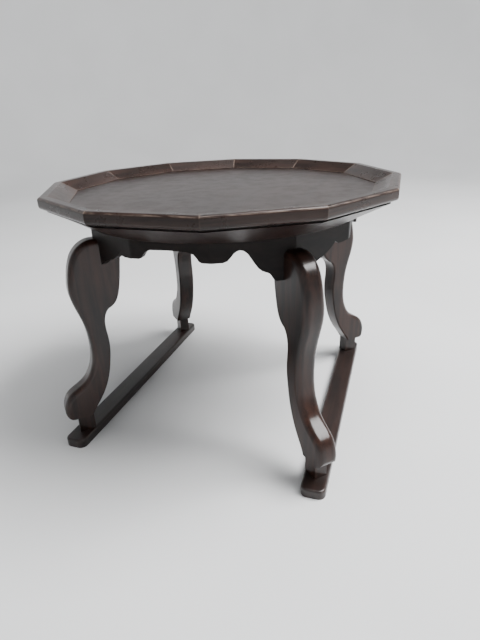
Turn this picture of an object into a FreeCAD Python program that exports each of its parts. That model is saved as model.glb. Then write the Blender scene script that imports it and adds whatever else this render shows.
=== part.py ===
import FreeCAD, Part
import math
import os

# Low twelve-sided tray table: four curved plank legs on two floor runners.
# Millimetres. +Z is up, the runners lie along Y and stand on z = 0.
# The vertical axis of the table is the Z axis.

# Table top
TOP_HEIGHT = 300.0          # top of the rim lip above the floor
TOP_RADIUS = 210.0          # axis to an outer corner of the rim
LIP_WIDTH = 10.0            # flat top of the rim, square to a side
SLOPE_WIDTH = 18.0          # inner slope of the rim, square to a side
PANEL_DROP = 11.0           # lip top down to the tray floor
STRIP_FOOT = 0.8            # height of a rim strip's inner foot above the tray floor
SEAT_DEPTH = 1.5            # rebate round the tray floor that the rim sits in
NOSE_OVERHANG = 7.0         # rim nose beyond the edge of the board
NOSE_TOP_ROUND = 3.2        # rounding of the nose, upper edge
NOSE_LOW_ROUND = 4.0        # rounding of the nose, lower edge
BOARD_EDGE = 3.0            # upright edge of the board under the nose
GROOVE_DEPTH = 3.0          # that edge is set in behind the top of the bevel
BOARD_THICK = 24.0          # tray floor down to the flat underside
BOARD_LOW_RADIUS = 164.5    # round lower edge of the bevelled underside

# Apron under the board
APRON_RADIUS = 162.0        # axis to an outer corner of the apron ring
APRON_THICK = 7.0
APRON_ARCH_Z = 255.2        # top of the open arches
APRON_DROP_Z = 244.8        # bottom of the drops at the ring corners
APRON_KNEE_Z = 251.0        # top of the notch the leg passes through
APRON_EAR_Z = 221.0         # bottom of the ears beside a leg
APRON_BEND_ROUND = 9.0      # outer rounding where a board bends between legs

# Legs
LEG_THICK = 24.0
LEG_OUTER_ROUND = 6.5
LEG_INNER_ROUND = 2.0
LEG_TENON_HEIGHT = 12.0
LEG_TENON_THICK = 12.0
NECK_THICK = 15.0
NECK_IN = 198.0             # axis to the inner face of the neck
NECK_OUT = 217.0            # axis to the outer face of the neck
NECK_TENON_DEPTH = 7.0
NECK_TENON_INSET = 3.0

# Runners
RUNNER_SPACING = 296.0      # between the two centre lines
RUNNER_WIDTH = 27.0
RUNNER_THICK = 11.0
RUNNER_LENGTH = 351.0
RUNNER_END_ROUND = 8.0
RUNNER_EDGE_ROUND = 2.5

SIDES = 12
HALF_STEP = math.pi / SIDES
PANEL_Z = TOP_HEIGHT - PANEL_DROP
SEAT_Z = PANEL_Z - SEAT_DEPTH
LIP_IN = TOP_RADIUS * math.cos(HALF_STEP) - LIP_WIDTH
FOOT_IN = LIP_IN - SLOPE_WIDTH
BOARD_LOW_Z = PANEL_Z - BOARD_THICK

# Outer edge of a leg from the apron down to the toe: (distance from axis, height)
LEG_OUTER = [
    (163.0, 251.0), (176.5, 248.0), (187.0, 239.0), (193.8, 225.0),
    (197.5, 209.0), (198.8, 196.0), (197.4, 184.0), (192.6, 166.5),
    (188.4, 149.5), (186.6, 133.0), (186.4, 118.0), (188.0, 104.5),
    (192.8, 90.5), (200.5, 79.5), (212.0, 71.5), (223.0, 63.5),
    (228.0, 54.0), (229.5, 42.0),
]
# Underside of the toe back to the neck
TOE_UNDER = [(229.5, 42.0), (226.5, 36.0), (217.0, 33.5)]
# Inner edge of a leg from the neck up to the foot of the blade
LEG_INNER = [
    (198.0, 33.5), (195.0, 39.0), (189.0, 47.5), (180.0, 61.5),
    (171.5, 82.0), (166.3, 105.0), (164.2, 127.0), (165.4, 146.0),
    (164.3, 159.0), (158.5, 169.0),
]
# Inner edge of the blade up to the underside of the board
LEG_BLADE = [(158.5, 169.0), (148.5, 177.0), (143.5, 190.0), (139.5, 211.0), (136.0, 233.0)]

LEG_AZIMUTHS = {
    "front_left": 225.0,
    "front_right": 315.0,
    "back_right": 45.0,
    "back_left": 135.0,
}


def polygon_wire(radius, z):
    """Regular twelve-sided outline with sides facing X and Y."""
    points = []
    for index in range(SIDES):
        angle = (2 * index + 1) * HALF_STEP
        points.append(FreeCAD.Vector(radius * math.cos(angle), radius * math.sin(angle), z))
    return Part.makePolygon(points + points[:1])


def arc_wire(radius, z):
    """Circle split into twelve arcs, one under each side of the polygon."""
    arcs = []
    for index in range(SIDES):
        stops = [(2 * index - 1 + step) * HALF_STEP for step in range(3)]
        points = [
            FreeCAD.Vector(radius * math.cos(a), radius * math.sin(a), z) for a in stops
        ]
        arcs.append(Part.Arc(*points).toShape())
    return Part.Wire(arcs)


def turn(shape, degrees):
    """Copy of a shape turned about the table's axis."""
    copy = shape.copy()
    copy.rotate(FreeCAD.Vector(0, 0, 0), FreeCAD.Vector(0, 0, 1), degrees)
    return copy


def side_wedge(low_z, high_z, inner, outer):
    """Slice of one side between its two mitre planes, facing +X."""
    slope = math.tan(HALF_STEP)
    points = [
        FreeCAD.Vector(inner, -inner * slope, low_z),
        FreeCAD.Vector(outer, -outer * slope, low_z),
        FreeCAD.Vector(outer, outer * slope, low_z),
        FreeCAD.Vector(inner, inner * slope, low_z),
    ]
    face = Part.Face(Part.makePolygon(points + points[:1]))
    return face.extrude(FreeCAD.Vector(0, 0, high_z - low_z))


def leg_tenon_box():
    """Tenon at the head of a leg on the +X axis."""
    return Part.makeBox(
        12.0, LEG_TENON_THICK, LEG_TENON_HEIGHT,
        FreeCAD.Vector(139.0, -LEG_TENON_THICK / 2, BOARD_LOW_Z),
    )


def make_top_board():
    """Tray floor with a bevelled underside that runs from twelve sides to round."""
    edge_radius = (TOP_RADIUS * math.cos(HALF_STEP) - NOSE_OVERHANG) / math.cos(HALF_STEP)
    edge_z = SEAT_Z - BOARD_EDGE
    slab = Part.Face(polygon_wire(edge_radius - GROOVE_DEPTH, edge_z)).extrude(
        FreeCAD.Vector(0, 0, BOARD_EDGE))
    floor = Part.Face(polygon_wire(FOOT_IN / math.cos(HALF_STEP), SEAT_Z)).extrude(
        FreeCAD.Vector(0, 0, SEAT_DEPTH))
    bevel = Part.makeLoft(
        [arc_wire(BOARD_LOW_RADIUS, BOARD_LOW_Z), polygon_wire(edge_radius, edge_z)],
        True, True)
    board = slab.fuse([bevel, floor]).removeSplitter()
    for azimuth in LEG_AZIMUTHS.values():
        board = board.cut(turn(leg_tenon_box(), azimuth))
    return board


def make_rim_strip():
    """One mitred rim strip facing +X: slope, flat lip and rounded nose."""
    outer = TOP_RADIUS * math.cos(HALF_STEP)
    top = TOP_HEIGHT
    low = SEAT_Z
    r1 = NOSE_TOP_ROUND
    r2 = NOSE_LOW_ROUND
    k = math.sqrt(0.5)
    start_y = -80.0

    def at(x, z):
        return FreeCAD.Vector(x, start_y, z)

    edges = [
        Part.makeLine(at(FOOT_IN, low), at(FOOT_IN, PANEL_Z + STRIP_FOOT)),
        Part.makeLine(at(FOOT_IN, PANEL_Z + STRIP_FOOT), at(LIP_IN, top)),
        Part.makeLine(at(LIP_IN, top), at(outer - r1, top)),
        Part.Arc(at(outer - r1, top), at(outer - r1 + r1 * k, top - r1 + r1 * k),
                 at(outer, top - r1)).toShape(),
        Part.makeLine(at(outer, top - r1), at(outer, low + r2)),
        Part.Arc(at(outer, low + r2), at(outer - r2 + r2 * k, low + r2 - r2 * k),
                 at(outer - r2, low)).toShape(),
        Part.makeLine(at(outer - r2, low), at(FOOT_IN, low)),
    ]
    bar = Part.Face(Part.Wire(edges)).extrude(FreeCAD.Vector(0, -2 * start_y, 0))
    return bar.common(side_wedge(low - 5, top + 5, 120.0, 240.0))


def apron_edge_mid():
    """Lower edge of the apron side between two legs, as (along, height)."""
    half = [(0.0, APRON_ARCH_Z), (20.0, APRON_ARCH_Z - 0.6), (25.5, APRON_ARCH_Z - 2.6),
            (28.5, APRON_ARCH_Z - 6.0), (30.5, APRON_DROP_Z + 1.2), (33.5, APRON_DROP_Z),
            (46.0, APRON_DROP_Z)]
    return [(-s, z) for s, z in reversed(half)] + half[1:]


def apron_edge_arched():
    """Lower edge of the side before a leg, which is at +along: drop, arch, stepped ear."""
    return [(-46.0, APRON_DROP_Z), (-30.0, APRON_DROP_Z - 0.4), (-25.5, APRON_DROP_Z + 0.8),
            (-22.0, APRON_DROP_Z + 4.4), (-19.0, APRON_ARCH_Z - 2.6), (-16.0, APRON_ARCH_Z - 0.7),
            (-13.0, APRON_ARCH_Z), (-9.5, APRON_ARCH_Z - 0.9), (-6.0, APRON_ARCH_Z - 3.8),
            (-2.8, APRON_ARCH_Z - 8.4), (1.1, APRON_ARCH_Z - 14.8), (4.2, APRON_EAR_Z + 15.0),
            (7.8, APRON_EAR_Z + 11.8), (11.0, APRON_EAR_Z + 10.2), (15.0, APRON_EAR_Z + 8.6),
            (17.3, APRON_EAR_Z + 6.2), (20.0, APRON_EAR_Z + 1.6), (22.5, APRON_EAR_Z),
            (46.0, APRON_EAR_Z)]


def apron_edge_sloped():
    """Lower edge of the side after a leg, which is at +along: drop, nick, long ear."""
    return [(-46.0, APRON_DROP_Z), (-28.0, APRON_DROP_Z - 1.6), (-23.0, APRON_DROP_Z - 1.0),
            (-20.5, APRON_DROP_Z + 0.6), (-18.5, APRON_DROP_Z + 1.6), (-16.0, APRON_DROP_Z - 0.4),
            (-11.0, APRON_DROP_Z - 4.4), (-3.0, APRON_DROP_Z - 8.6), (6.3, APRON_EAR_Z + 12.2),
            (15.0, APRON_EAR_Z + 9.4), (22.0, APRON_EAR_Z + 6.2), (28.0, APRON_EAR_Z + 2.2),
            (33.0, APRON_EAR_Z), (46.0, APRON_EAR_Z)]


def make_apron_side(lower_edge):
    """One flat side of the apron facing +X, cut to its two mitre planes."""
    outer = APRON_RADIUS * math.cos(HALF_STEP)
    points = [FreeCAD.Vector(outer - APRON_THICK, s, z) for s, z in lower_edge]
    points.append(FreeCAD.Vector(outer - APRON_THICK, 46.0, BOARD_LOW_Z))
    points.append(FreeCAD.Vector(outer - APRON_THICK, -46.0, BOARD_LOW_Z))
    panel = Part.Face(Part.makePolygon(points + points[:1])).extrude(
        FreeCAD.Vector(APRON_THICK, 0, 0))
    return panel.common(side_wedge(APRON_EAR_Z - 5, BOARD_LOW_Z + 5, 120.0, 200.0))


def bend_edges(board, azimuth):
    """Upright edges on the outer face of an apron board at one corner of the ring."""
    corner = FreeCAD.Vector(
        APRON_RADIUS * math.cos(math.radians(azimuth)),
        APRON_RADIUS * math.sin(math.radians(azimuth)), 0)
    found = []
    for edge in board.Edges:
        box = edge.BoundBox
        middle = FreeCAD.Vector(box.Center.x, box.Center.y, 0)
        if box.ZLength > 5.0 and middle.distanceToPoint(corner) < 0.5:
            found.append(edge)
    return found


def make_apron_board(leg):
    """Three apron sides bent round the leg on the +X axis and fitted to its head."""
    sloped = [(-s, z) for s, z in reversed(apron_edge_sloped())]
    before = turn(make_apron_side(apron_edge_arched()), -15.0)
    after = turn(make_apron_side(sloped), 15.0)
    middle = turn(make_apron_side(apron_edge_mid()), 45.0)
    board = before.fuse(after).fuse(middle).removeSplitter()
    board = board.makeFillet(APRON_BEND_ROUND, bend_edges(board, 30.0))
    below = Part.makeBox(
        60.0, LEG_THICK, APRON_KNEE_Z - LEG_OUTER_ROUND - APRON_EAR_Z + 5.0,
        FreeCAD.Vector(130.0, -LEG_THICK / 2, APRON_EAR_Z - 5.0))
    return board.cut(below).cut(leg)


def curve_edge(points, y):
    """Smooth edge through (distance, height) points in the plane at y."""
    spline = Part.BSplineCurve()
    spline.interpolate([FreeCAD.Vector(r, y, z) for r, z in points])
    return spline.toShape()


def leg_outline_edges(y):
    """Closed outline of a leg: head, outer curve, toe, inner curve, blade."""
    slot_in = APRON_RADIUS - APRON_THICK / math.cos(HALF_STEP)
    blade_top = LEG_BLADE[-1]
    corners = [blade_top, (134.5, BOARD_LOW_Z), (slot_in, BOARD_LOW_Z),
               (slot_in, APRON_KNEE_Z), LEG_OUTER[0]]
    edges = []
    for first, second in zip(corners[:-1], corners[1:]):
        edges.append(Part.makeLine(
            FreeCAD.Vector(first[0], y, first[1]), FreeCAD.Vector(second[0], y, second[1])))
    edges.append(curve_edge(LEG_OUTER, y))
    edges.append(curve_edge(TOE_UNDER, y))
    edges.append(Part.makeLine(
        FreeCAD.Vector(TOE_UNDER[-1][0], y, TOE_UNDER[-1][1]),
        FreeCAD.Vector(LEG_INNER[0][0], y, LEG_INNER[0][1])))
    edges.append(curve_edge(LEG_INNER, y))
    edges.append(curve_edge(LEG_BLADE, y))
    return edges


def curved_long_edges(plank, low_r, high_r):
    """Long profile edges whose middle is between two distances from the axis."""
    found = []
    for edge in plank.Edges:
        box = edge.BoundBox
        if box.YLength > 0.01 or box.ZLength < 40.0:
            continue
        if low_r < box.Center.x < high_r:
            found.append(edge)
    return found


def knee_top_edges(plank):
    """Short level edges of the plank where it passes under the apron."""
    found = []
    for edge in plank.Edges:
        box = edge.BoundBox
        if box.YLength < 0.01 and box.ZLength < 0.01 and abs(box.ZMax - APRON_KNEE_Z) < 0.01:
            found.append(edge)
    return found


def make_leg_plank():
    """Curved plank of one leg in the XZ plane with its long edges eased."""
    outline = Part.Wire(leg_outline_edges(-LEG_THICK / 2))
    plank = Part.Face(outline).extrude(FreeCAD.Vector(0, LEG_THICK, 0))
    outer = curved_long_edges(plank, 185.0, 215.0) + knee_top_edges(plank)
    plank = plank.makeFillet(LEG_OUTER_ROUND, outer)
    return plank.makeFillet(LEG_INNER_ROUND, curved_long_edges(plank, 130.0, 184.0))


def make_leg():
    """Leg on the +X axis: plank, head tenon, neck and foot tenon."""
    plank = make_leg_plank()
    toe_bottom = LEG_INNER[0][1]
    neck = Part.makeBox(
        NECK_OUT - NECK_IN, NECK_THICK, toe_bottom - RUNNER_THICK,
        FreeCAD.Vector(NECK_IN, -NECK_THICK / 2, RUNNER_THICK))
    return plank.fuse([neck, foot_tenon_box(), leg_tenon_box()]).removeSplitter()


def foot_tenon_box():
    """Tenon under the neck that enters the runner."""
    inset = NECK_TENON_INSET
    return Part.makeBox(
        NECK_OUT - NECK_IN - 2 * inset, NECK_THICK - 2 * inset, NECK_TENON_DEPTH,
        FreeCAD.Vector(NECK_IN + inset, -NECK_THICK / 2 + inset,
                       RUNNER_THICK - NECK_TENON_DEPTH))


def make_runner(side):
    """Floor runner with rounded ends, eased upper edges and two mortises."""
    centre_x = side * RUNNER_SPACING / 2
    runner = Part.makeBox(
        RUNNER_WIDTH, RUNNER_LENGTH, RUNNER_THICK,
        FreeCAD.Vector(centre_x - RUNNER_WIDTH / 2, -RUNNER_LENGTH / 2, 0))
    uprights = [e for e in runner.Edges if e.BoundBox.ZLength > RUNNER_THICK - 0.1]
    runner = runner.makeFillet(RUNNER_END_ROUND, uprights)
    rims = [e for e in runner.Edges if e.BoundBox.ZMin > RUNNER_THICK - 0.1]
    runner = runner.makeFillet(RUNNER_EDGE_ROUND, rims)
    for azimuth in LEG_AZIMUTHS.values():
        if side * math.cos(math.radians(azimuth)) > 0:
            runner = runner.cut(turn(foot_tenon_box(), azimuth))
    return runner


def export(shape, node):
    shape.exportStep("parts/" + node + ".step")


os.makedirs("parts", exist_ok=True)
export(make_top_board(), "top_board")
strip = make_rim_strip()
for number in range(SIDES):
    export(turn(strip, 30.0 * number), "rim_strip_%02d" % (number + 1))
leg = make_leg()
apron_board = make_apron_board(leg)
for place, azimuth in LEG_AZIMUTHS.items():
    export(turn(apron_board, azimuth), "apron_" + place)
    export(turn(leg, azimuth), "leg_" + place)
export(make_runner(-1), "runner_left")
export(make_runner(1), "runner_right")
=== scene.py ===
import math

import bpy
from mathutils import Matrix, Vector


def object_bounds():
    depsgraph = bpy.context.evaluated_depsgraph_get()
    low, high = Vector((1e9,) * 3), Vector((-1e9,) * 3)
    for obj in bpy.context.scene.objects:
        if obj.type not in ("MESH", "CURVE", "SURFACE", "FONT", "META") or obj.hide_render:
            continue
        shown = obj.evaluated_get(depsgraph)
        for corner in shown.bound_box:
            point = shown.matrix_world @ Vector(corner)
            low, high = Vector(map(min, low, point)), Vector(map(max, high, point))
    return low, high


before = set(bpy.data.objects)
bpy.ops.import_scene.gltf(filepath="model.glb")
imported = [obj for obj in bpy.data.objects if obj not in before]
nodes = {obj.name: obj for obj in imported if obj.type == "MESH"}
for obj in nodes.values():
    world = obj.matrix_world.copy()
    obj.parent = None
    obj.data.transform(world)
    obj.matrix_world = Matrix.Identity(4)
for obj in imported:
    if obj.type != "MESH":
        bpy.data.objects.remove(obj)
cad_low, cad_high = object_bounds()

# Sizes are in metres and angles in degrees.
SIDES = 12
TOP = cad_high.z                                                 # rim lip above the floor
REACH = (cad_high.x - cad_low.x) / 2 / math.cos(math.pi / SIDES)   # axis to a rim corner

# Camera place, as multiples of REACH from the point on the floor under the table's middle
CAMERA_AT = (0.9686, -2.5751, 1.8062)
CAMERA_YAW = -19.24
CAMERA_PITCH = -24.92
CAMERA_ROLL = -2.24
CAMERA_LENS = 26.13
SENSOR_WIDTH = 36.0
CLIP_START = 0.02

# Studio floor: a flat disc that sweeps up into a round wall
FLOOR_RADIUS = 2.2
COVE_RADIUS = 0.9
COVE_TOP = 2.2
COVE_STEPS = 12
FLOOR_TURNS = 96
FLOOR_GREYS = ((0.66, 0.665, 0.67), (0.69, 0.695, 0.70))
FLOOR_ROUGHNESS = 0.9

# Soft lights: name, place, size, watts
LIGHTS = (
    ("ceiling_soft", (0.1, 0.1, 2.5), (1.8, 1.8), 32.0),
    ("right_soft", (1.25, 0.3, 2.0), (1.3, 1.3), 134.0),
    ("front_soft", (0.4, -2.2, 1.5), (2.4, 1.4), 2.0),
)
LIGHT_TARGET = (0.0, 0.0, TOP * 0.6)
AIR_COLOUR = (0.96, 0.98, 1.0, 1.0)
AIR_STRENGTH = 0.18

# Noise scales of the wood, in features per metre before the grain is drawn out
FIBRE_SCALE = 900.0
FIGURE_SCALE = 150.0
DENT_SCALE = 120.0
SMUDGE_SCALE = 60.0
CLOUD_SCALE = 8.0

EDGE_REACH = 0.0020      # how far rubbing spreads from an edge
BUMP_DISTANCE = 0.0004
PORE_DARKENING = 0.3     # colour of a pore against the dark grain
COAT_SMOOTHER = 0.08     # how much smoother the clear coat is than the lacquer
COAT_SMOOTHEST = 0.12

# Finishes, one for each kind of piece.
# dark, light: colours of the grain; worn_and_highlight: colour of rubbed lacquer, also the painted
# highlight colour
# gloss: roughness of sound lacquer; coat: weight of the clear coat; shine: plain reflection
# edge_wear_and_highlight: light lines on edges, part rubbing and part painted highlight;
# crown_rub_and_highlight: the same on upward shoulders
# streak: how far the grain is drawn out, smaller for longer streaks
TRAY = {
    "dark": (0.0125, 0.0078, 0.0070), "light": (0.0215, 0.0128, 0.0110),
    "worn_and_highlight": (0.14, 0.095, 0.075),
    "gloss": 0.30, "coat": 0.05, "shine": 0.20, "edge_wear_and_highlight": 0.6, "crown_rub_and_highlight": 0.0, "streak": 0.03,
}
RIM = {
    "dark": (0.011, 0.0068, 0.0057), "light": (0.032, 0.0178, 0.0142),
    "worn_and_highlight": (0.21, 0.155, 0.125),
    "gloss": 0.27, "coat": 0.12, "shine": 0.22, "edge_wear_and_highlight": 1.0, "crown_rub_and_highlight": 0.5, "streak": 0.07,
}
LEG = {
    "dark": (0.0065, 0.0038, 0.0032), "light": (0.027, 0.0112, 0.0078),
    "worn_and_highlight": (0.13, 0.060, 0.038),
    "gloss": 0.30, "coat": 0.5, "shine": 0.10, "edge_wear_and_highlight": 0.8, "crown_rub_and_highlight": 0.12, "streak": 0.07,
}
# The apron's grain colours are about half as bright as the legs': painted shade from the top board
# above it.
APRON_PAINTED_SHADE = {
    "dark": (0.0035, 0.0027, 0.0025), "light": (0.0085, 0.0056, 0.0048),
    "worn_and_highlight": (0.045, 0.030, 0.024),
    "gloss": 0.42, "coat": 0.0, "shine": 0.12, "edge_wear_and_highlight": 0.25, "crown_rub_and_highlight": 0.0, "streak": 0.07,
}
RUNNER = {
    "dark": (0.0095, 0.0065, 0.0060), "light": (0.026, 0.0145, 0.0120),
    "worn_and_highlight": (0.12, 0.080, 0.065),
    "gloss": 0.32, "coat": 0.1, "shine": 0.4, "edge_wear_and_highlight": 0.8, "crown_rub_and_highlight": 0.0, "streak": 0.07,
}

# Direction in which each leg stands out from the axis
CORNERS = (("front_left", 225.0), ("front_right", 315.0), ("back_right", 45.0), ("back_left", 135.0))


# ---------------------------------------------------------------- node helpers

class Nodes:
    """Shorthand for building one material's node tree."""

    def __init__(self, name):
        self.material = bpy.data.materials.new(name)
        self.material.use_nodes = True
        self.tree = self.material.node_tree
        self.shader = self.tree.nodes["Principled BSDF"]

    def add(self, kind, **settings):
        node = self.tree.nodes.new(kind)
        for key, value in settings.items():
            setattr(node, key, value)
        return node

    def link(self, source, target):
        self.tree.links.new(source, target)

    def set_input(self, socket, value):
        """Links another node's socket, or sets a plain value."""
        if isinstance(value, bpy.types.NodeSocket):
            self.link(value, socket)
        else:
            socket.default_value = value

    def math(self, operation, a, b, clamp=False):
        node = self.add("ShaderNodeMath", operation=operation, use_clamp=clamp)
        self.set_input(node.inputs[0], a)
        self.set_input(node.inputs[1], b)
        return node.outputs[0]

    def product(self, first, *others):
        for other in others:
            first = self.math("MULTIPLY", first, other)
        return first

    def ramp(self, value, low, high, out_low=0.0, out_high=1.0):
        """Takes low..high to out_low..out_high along a smooth step."""
        node = self.add("ShaderNodeMapRange", interpolation_type="SMOOTHSTEP")
        self.set_input(node.inputs["Value"], value)
        node.inputs["From Min"].default_value = low
        node.inputs["From Max"].default_value = high
        node.inputs["To Min"].default_value = out_low
        node.inputs["To Max"].default_value = out_high
        return node.outputs["Result"]

    def blend(self, factor, first, second):
        """Mixes two colours. The mix node's colour sockets are inputs 6 and 7 and output 2."""
        node = self.add("ShaderNodeMix", data_type="RGBA")
        self.set_input(node.inputs["Factor"], factor)
        for socket, value in ((node.inputs[6], first), (node.inputs[7], second)):
            linked = isinstance(value, bpy.types.NodeSocket)
            self.set_input(socket, value if linked else (*value, 1.0))
        return node.outputs[2]

    def noise(self, vector, scale, detail=3.0, roughness=0.5, distortion=0.0):
        node = self.add("ShaderNodeTexNoise")
        self.link(vector, node.inputs["Vector"])
        node.inputs["Scale"].default_value = scale
        node.inputs["Detail"].default_value = detail
        node.inputs["Roughness"].default_value = roughness
        node.inputs["Distortion"].default_value = distortion
        return node.outputs["Fac"]

    def place(self, turn_z=0.0, scale=(1.0, 1.0, 1.0)):
        """Position in the row frame, turned about the table's axis and then stretched."""
        where = self.add("ShaderNodeTexCoord").outputs["Object"]
        turned = self.add("ShaderNodeMapping", vector_type="POINT")
        self.link(where, turned.inputs["Vector"])
        turned.inputs["Rotation"].default_value = (0.0, 0.0, math.radians(turn_z))
        stretched = self.add("ShaderNodeMapping", vector_type="POINT")
        self.link(turned.outputs["Vector"], stretched.inputs["Vector"])
        stretched.inputs["Scale"].default_value = scale
        return stretched.outputs["Vector"]

    def edge_mask(self, radius):
        """1 on edges sharper than the radius, 0 on flats."""
        bevel = self.add("ShaderNodeBevel", samples=6)
        bevel.inputs["Radius"].default_value = radius
        geometry = self.add("ShaderNodeNewGeometry")
        dot = self.add("ShaderNodeVectorMath", operation="DOT_PRODUCT")
        self.link(bevel.outputs["Normal"], dot.inputs[0])
        self.link(geometry.outputs["Normal"], dot.inputs[1])
        bent = self.math("SUBTRACT", 1.0, dot.outputs["Value"])
        return self.ramp(bent, 0.02, 0.16)

    def height_of_normal(self):
        """1 where the surface faces up, 0 where it is upright, -1 where it faces down."""
        geometry = self.add("ShaderNodeNewGeometry")
        split = self.add("ShaderNodeSeparateXYZ")
        self.link(geometry.outputs["Normal"], split.inputs[0])
        return split.outputs["Z"]

    def bump(self, height, strength, normal=None):
        node = self.add("ShaderNodeBump")
        node.inputs["Strength"].default_value = strength
        node.inputs["Distance"].default_value = BUMP_DISTANCE
        self.link(height, node.inputs["Height"])
        if normal is not None:
            self.link(normal, node.inputs["Normal"])
        return node.outputs["Normal"]


# ------------------------------------------------------------------- materials

def grain_colour(m, finish, figure, fibre, place):
    """Dark and light grain with slow clouds and darker pores."""
    cloud = m.noise(place, CLOUD_SCALE, 3.0, 0.5)
    tone = m.math("ADD", m.product(m.ramp(figure, 0.38, 0.64), 0.6),
                  m.product(m.ramp(cloud, 0.38, 0.62), 0.4), clamp=True)
    colour = m.blend(tone, finish["dark"], finish["light"])
    pore_colour = tuple(channel * PORE_DARKENING for channel in finish["dark"])
    return m.blend(m.product(m.ramp(fibre, 0.60, 0.72), 0.5), colour, pore_colour)


def rubbed_and_highlight_mask(m, finish, fibre, smudge):
    """Light marks, part rubbed lacquer and part painted highlight: lines on edges, and streaks on
    upward shoulders.
    """
    facing = m.height_of_normal()
    patchy = m.ramp(smudge, 0.36, 0.58, 0.25, 1.0)
    # Edges that face up get more of the light colour: partly rubbing, partly painted highlight from
    # the lights above.
    upward = m.ramp(facing, 0.20, 0.75, 0.10, 1.0)
    lines = m.product(m.edge_mask(EDGE_REACH), patchy, finish["edge_wear_and_highlight"], upward)
    # Light streaks on up-sloping shoulders, such as the rim's nose top and the knee and toe tops:
    # partly rubbing, partly painted highlight.
    shoulder = m.product(m.ramp(facing, 0.30, 0.50), m.ramp(facing, 0.74, 0.84, 1.0, 0.0))
    streaks_rub_and_highlight = m.product(shoulder, m.ramp(fibre, 0.42, 0.60), patchy, finish["crown_rub_and_highlight"])
    return m.math("ADD", lines, streaks_rub_and_highlight, clamp=True)


def lacquered_wood(name, turn, along, finish):
    """Aged lacquer over a straight-grained wood, with light rubbed edges that are partly painted
    highlight.

    turn: degrees that bring the grain onto an axis; along: that axis, "y" or "z".
    """
    m = Nodes(name)
    streak = finish["streak"]
    stretch = {"y": (1.0, streak, 1.0), "z": (1.0, 1.0, streak)}[along]
    grain_place = m.place(turn, stretch)
    place = m.place()
    fibre = m.noise(grain_place, FIBRE_SCALE, 4.0, 0.6)
    figure = m.noise(grain_place, FIGURE_SCALE, 4.0, 0.5, 0.2)
    smudge = m.noise(place, SMUDGE_SCALE, 4.0, 0.65)

    # Mask of rubbed lacquer and painted highlight; it lightens the colour and roughens the lacquer.
    rub_and_highlight_mix = rubbed_and_highlight_mask(m, finish, fibre, smudge)
    colour = grain_colour(m, finish, figure, fibre, place)
    m.link(m.blend(rub_and_highlight_mix, colour, finish["worn_and_highlight"]), m.shader.inputs["Base Color"])

    rough = m.math("ADD", finish["gloss"], m.product(m.ramp(smudge, 0.35, 0.75), 0.06))
    rough = m.math("ADD", rough, m.product(rub_and_highlight_mix, 0.20), clamp=True)
    m.link(rough, m.shader.inputs["Roughness"])
    m.shader.inputs["Coat Weight"].default_value = finish["coat"]
    m.shader.inputs["Coat Roughness"].default_value = max(
        COAT_SMOOTHEST, finish["gloss"] - COAT_SMOOTHER)
    m.shader.inputs["Specular IOR Level"].default_value = finish["shine"]

    grain_height = m.math("ADD", m.product(figure, 0.4), m.product(fibre, 0.6))
    dents = m.ramp(m.noise(place, DENT_SCALE, 2.0, 0.5), 0.72, 0.88, 1.0, 0.0)
    m.link(m.bump(dents, 0.05, m.bump(grain_height, 0.12)), m.shader.inputs["Normal"])
    return m.material


def floor_paper():
    m = Nodes("studio_floor")
    tone = m.ramp(m.noise(m.place(), 3.0, 2.0), 0.3, 0.7)
    m.link(m.blend(tone, *FLOOR_GREYS), m.shader.inputs["Base Color"])
    m.shader.inputs["Roughness"].default_value = FLOOR_ROUGHNESS
    return m.material


def paint(node, material):
    """Gives every slot of a CAD node's object one material."""
    for slot in nodes[node].material_slots:
        slot.link = "OBJECT"
        slot.material = material


def paint_table():
    """Each piece gets its own material, with the grain along the piece."""
    paint("top_board", lacquered_wood("lacquer_top_board", 0.0, "y", TRAY))
    for number in range(SIDES):
        label = "%02d" % (number + 1)
        turn = -360.0 / SIDES * number
        paint("rim_strip_" + label, lacquered_wood("lacquer_rim_" + label, turn, "y", RIM))
    for place, azimuth in CORNERS:
        paint("leg_" + place, lacquered_wood("lacquer_leg_" + place, -azimuth, "z", LEG))
        paint("apron_" + place, lacquered_wood("lacquer_apron_painted_shade_" + place, -azimuth, "y", APRON_PAINTED_SHADE))
    for side in ("left", "right"):
        paint("runner_" + side, lacquered_wood("lacquer_runner_" + side, 0.0, "y", RUNNER))


# ------------------------------------------------------------ stage and lights

def floor_profile():
    """Radius and height from the middle of the floor to the top of the wall."""
    profile = [(0.0, 0.0), (FLOOR_RADIUS, 0.0)]
    for step in range(1, COVE_STEPS + 1):
        angle = math.radians(90.0 * step / COVE_STEPS)
        profile.append((FLOOR_RADIUS + COVE_RADIUS * math.sin(angle),
                        COVE_RADIUS * (1.0 - math.cos(angle))))
    profile.append((FLOOR_RADIUS + COVE_RADIUS, COVE_TOP))
    return profile


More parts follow.
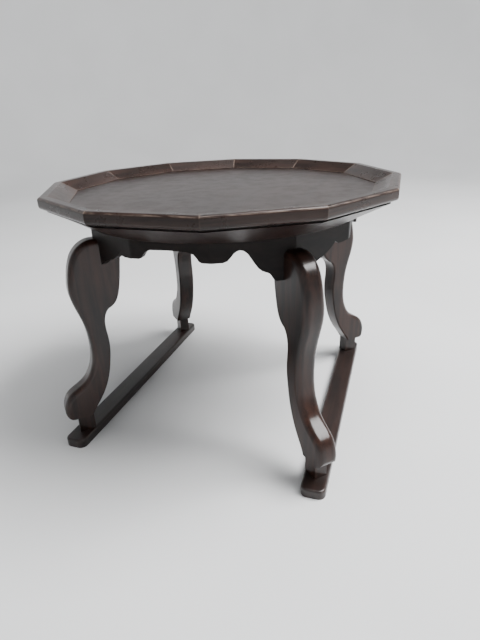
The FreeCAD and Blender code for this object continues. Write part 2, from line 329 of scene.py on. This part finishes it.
def make_floor():
    """Plain round floor that sweeps up into a plain wall, far from the table."""
    profile = floor_profile()
    vertices = [(0.0, 0.0, 0.0)]
    for radius, height in profile[1:]:
        for turn in range(FLOOR_TURNS):
            angle = 2.0 * math.pi * turn / FLOOR_TURNS
            vertices.append((radius * math.cos(angle), radius * math.sin(angle), height))
    faces = [(0, 1 + turn, 1 + (turn + 1) % FLOOR_TURNS) for turn in range(FLOOR_TURNS)]
    for ring in range(len(profile) - 2):
        low = 1 + ring * FLOOR_TURNS
        high = low + FLOOR_TURNS
        for turn in range(FLOOR_TURNS):
            after = (turn + 1) % FLOOR_TURNS
            faces.append((low + turn, high + turn, high + after, low + after))
    mesh = bpy.data.meshes.new("studio_floor")
    mesh.from_pydata(vertices, [], faces)
    for polygon in mesh.polygons:
        polygon.use_smooth = True
    floor = bpy.data.objects.new("studio_floor", mesh)
    bpy.context.collection.objects.link(floor)
    mesh.materials.append(floor_paper())


def area_light(name, place, size, power):
    light = bpy.data.lights.new(name, "AREA")
    light.shape = "RECTANGLE"
    light.size, light.size_y = size
    light.energy = power
    lamp = bpy.data.objects.new(name, light)
    lamp.location = place
    aim = Vector(LIGHT_TARGET) - Vector(place)
    lamp.rotation_euler = aim.to_track_quat("-Z", "Y").to_euler()
    bpy.context.collection.objects.link(lamp)


def make_lights():
    for name, place, size, power in LIGHTS:
        area_light(name, place, size, power)
    world = bpy.data.worlds.new("studio_air")
    world.use_nodes = True
    background = world.node_tree.nodes["Background"]
    background.inputs["Color"].default_value = AIR_COLOUR
    background.inputs["Strength"].default_value = AIR_STRENGTH
    bpy.context.scene.world = world


def make_camera():
    yaw, pitch, roll = (math.radians(a) for a in (CAMERA_YAW, CAMERA_PITCH, CAMERA_ROLL))
    forward = Vector((
        math.cos(pitch) * math.sin(yaw), math.cos(pitch) * math.cos(yaw), math.sin(pitch)))
    level = Vector((math.cos(yaw), -math.sin(yaw), 0.0))
    upward = level.cross(forward)
    across = level * math.cos(roll) + upward * math.sin(roll)
    up = upward * math.cos(roll) - level * math.sin(roll)
    data = bpy.data.cameras.new("photo_camera")
    data.lens = CAMERA_LENS
    data.sensor_width = SENSOR_WIDTH
    data.clip_start = CLIP_START
    camera = bpy.data.objects.new("photo_camera", data)
    turn = Matrix((across, up, -forward)).transposed().to_4x4()
    camera.matrix_world = Matrix.Translation(Vector(CAMERA_AT) * REACH) @ turn
    bpy.context.collection.objects.link(camera)
    bpy.context.scene.camera = camera


paint_table()
make_floor()
make_lights()
make_camera()
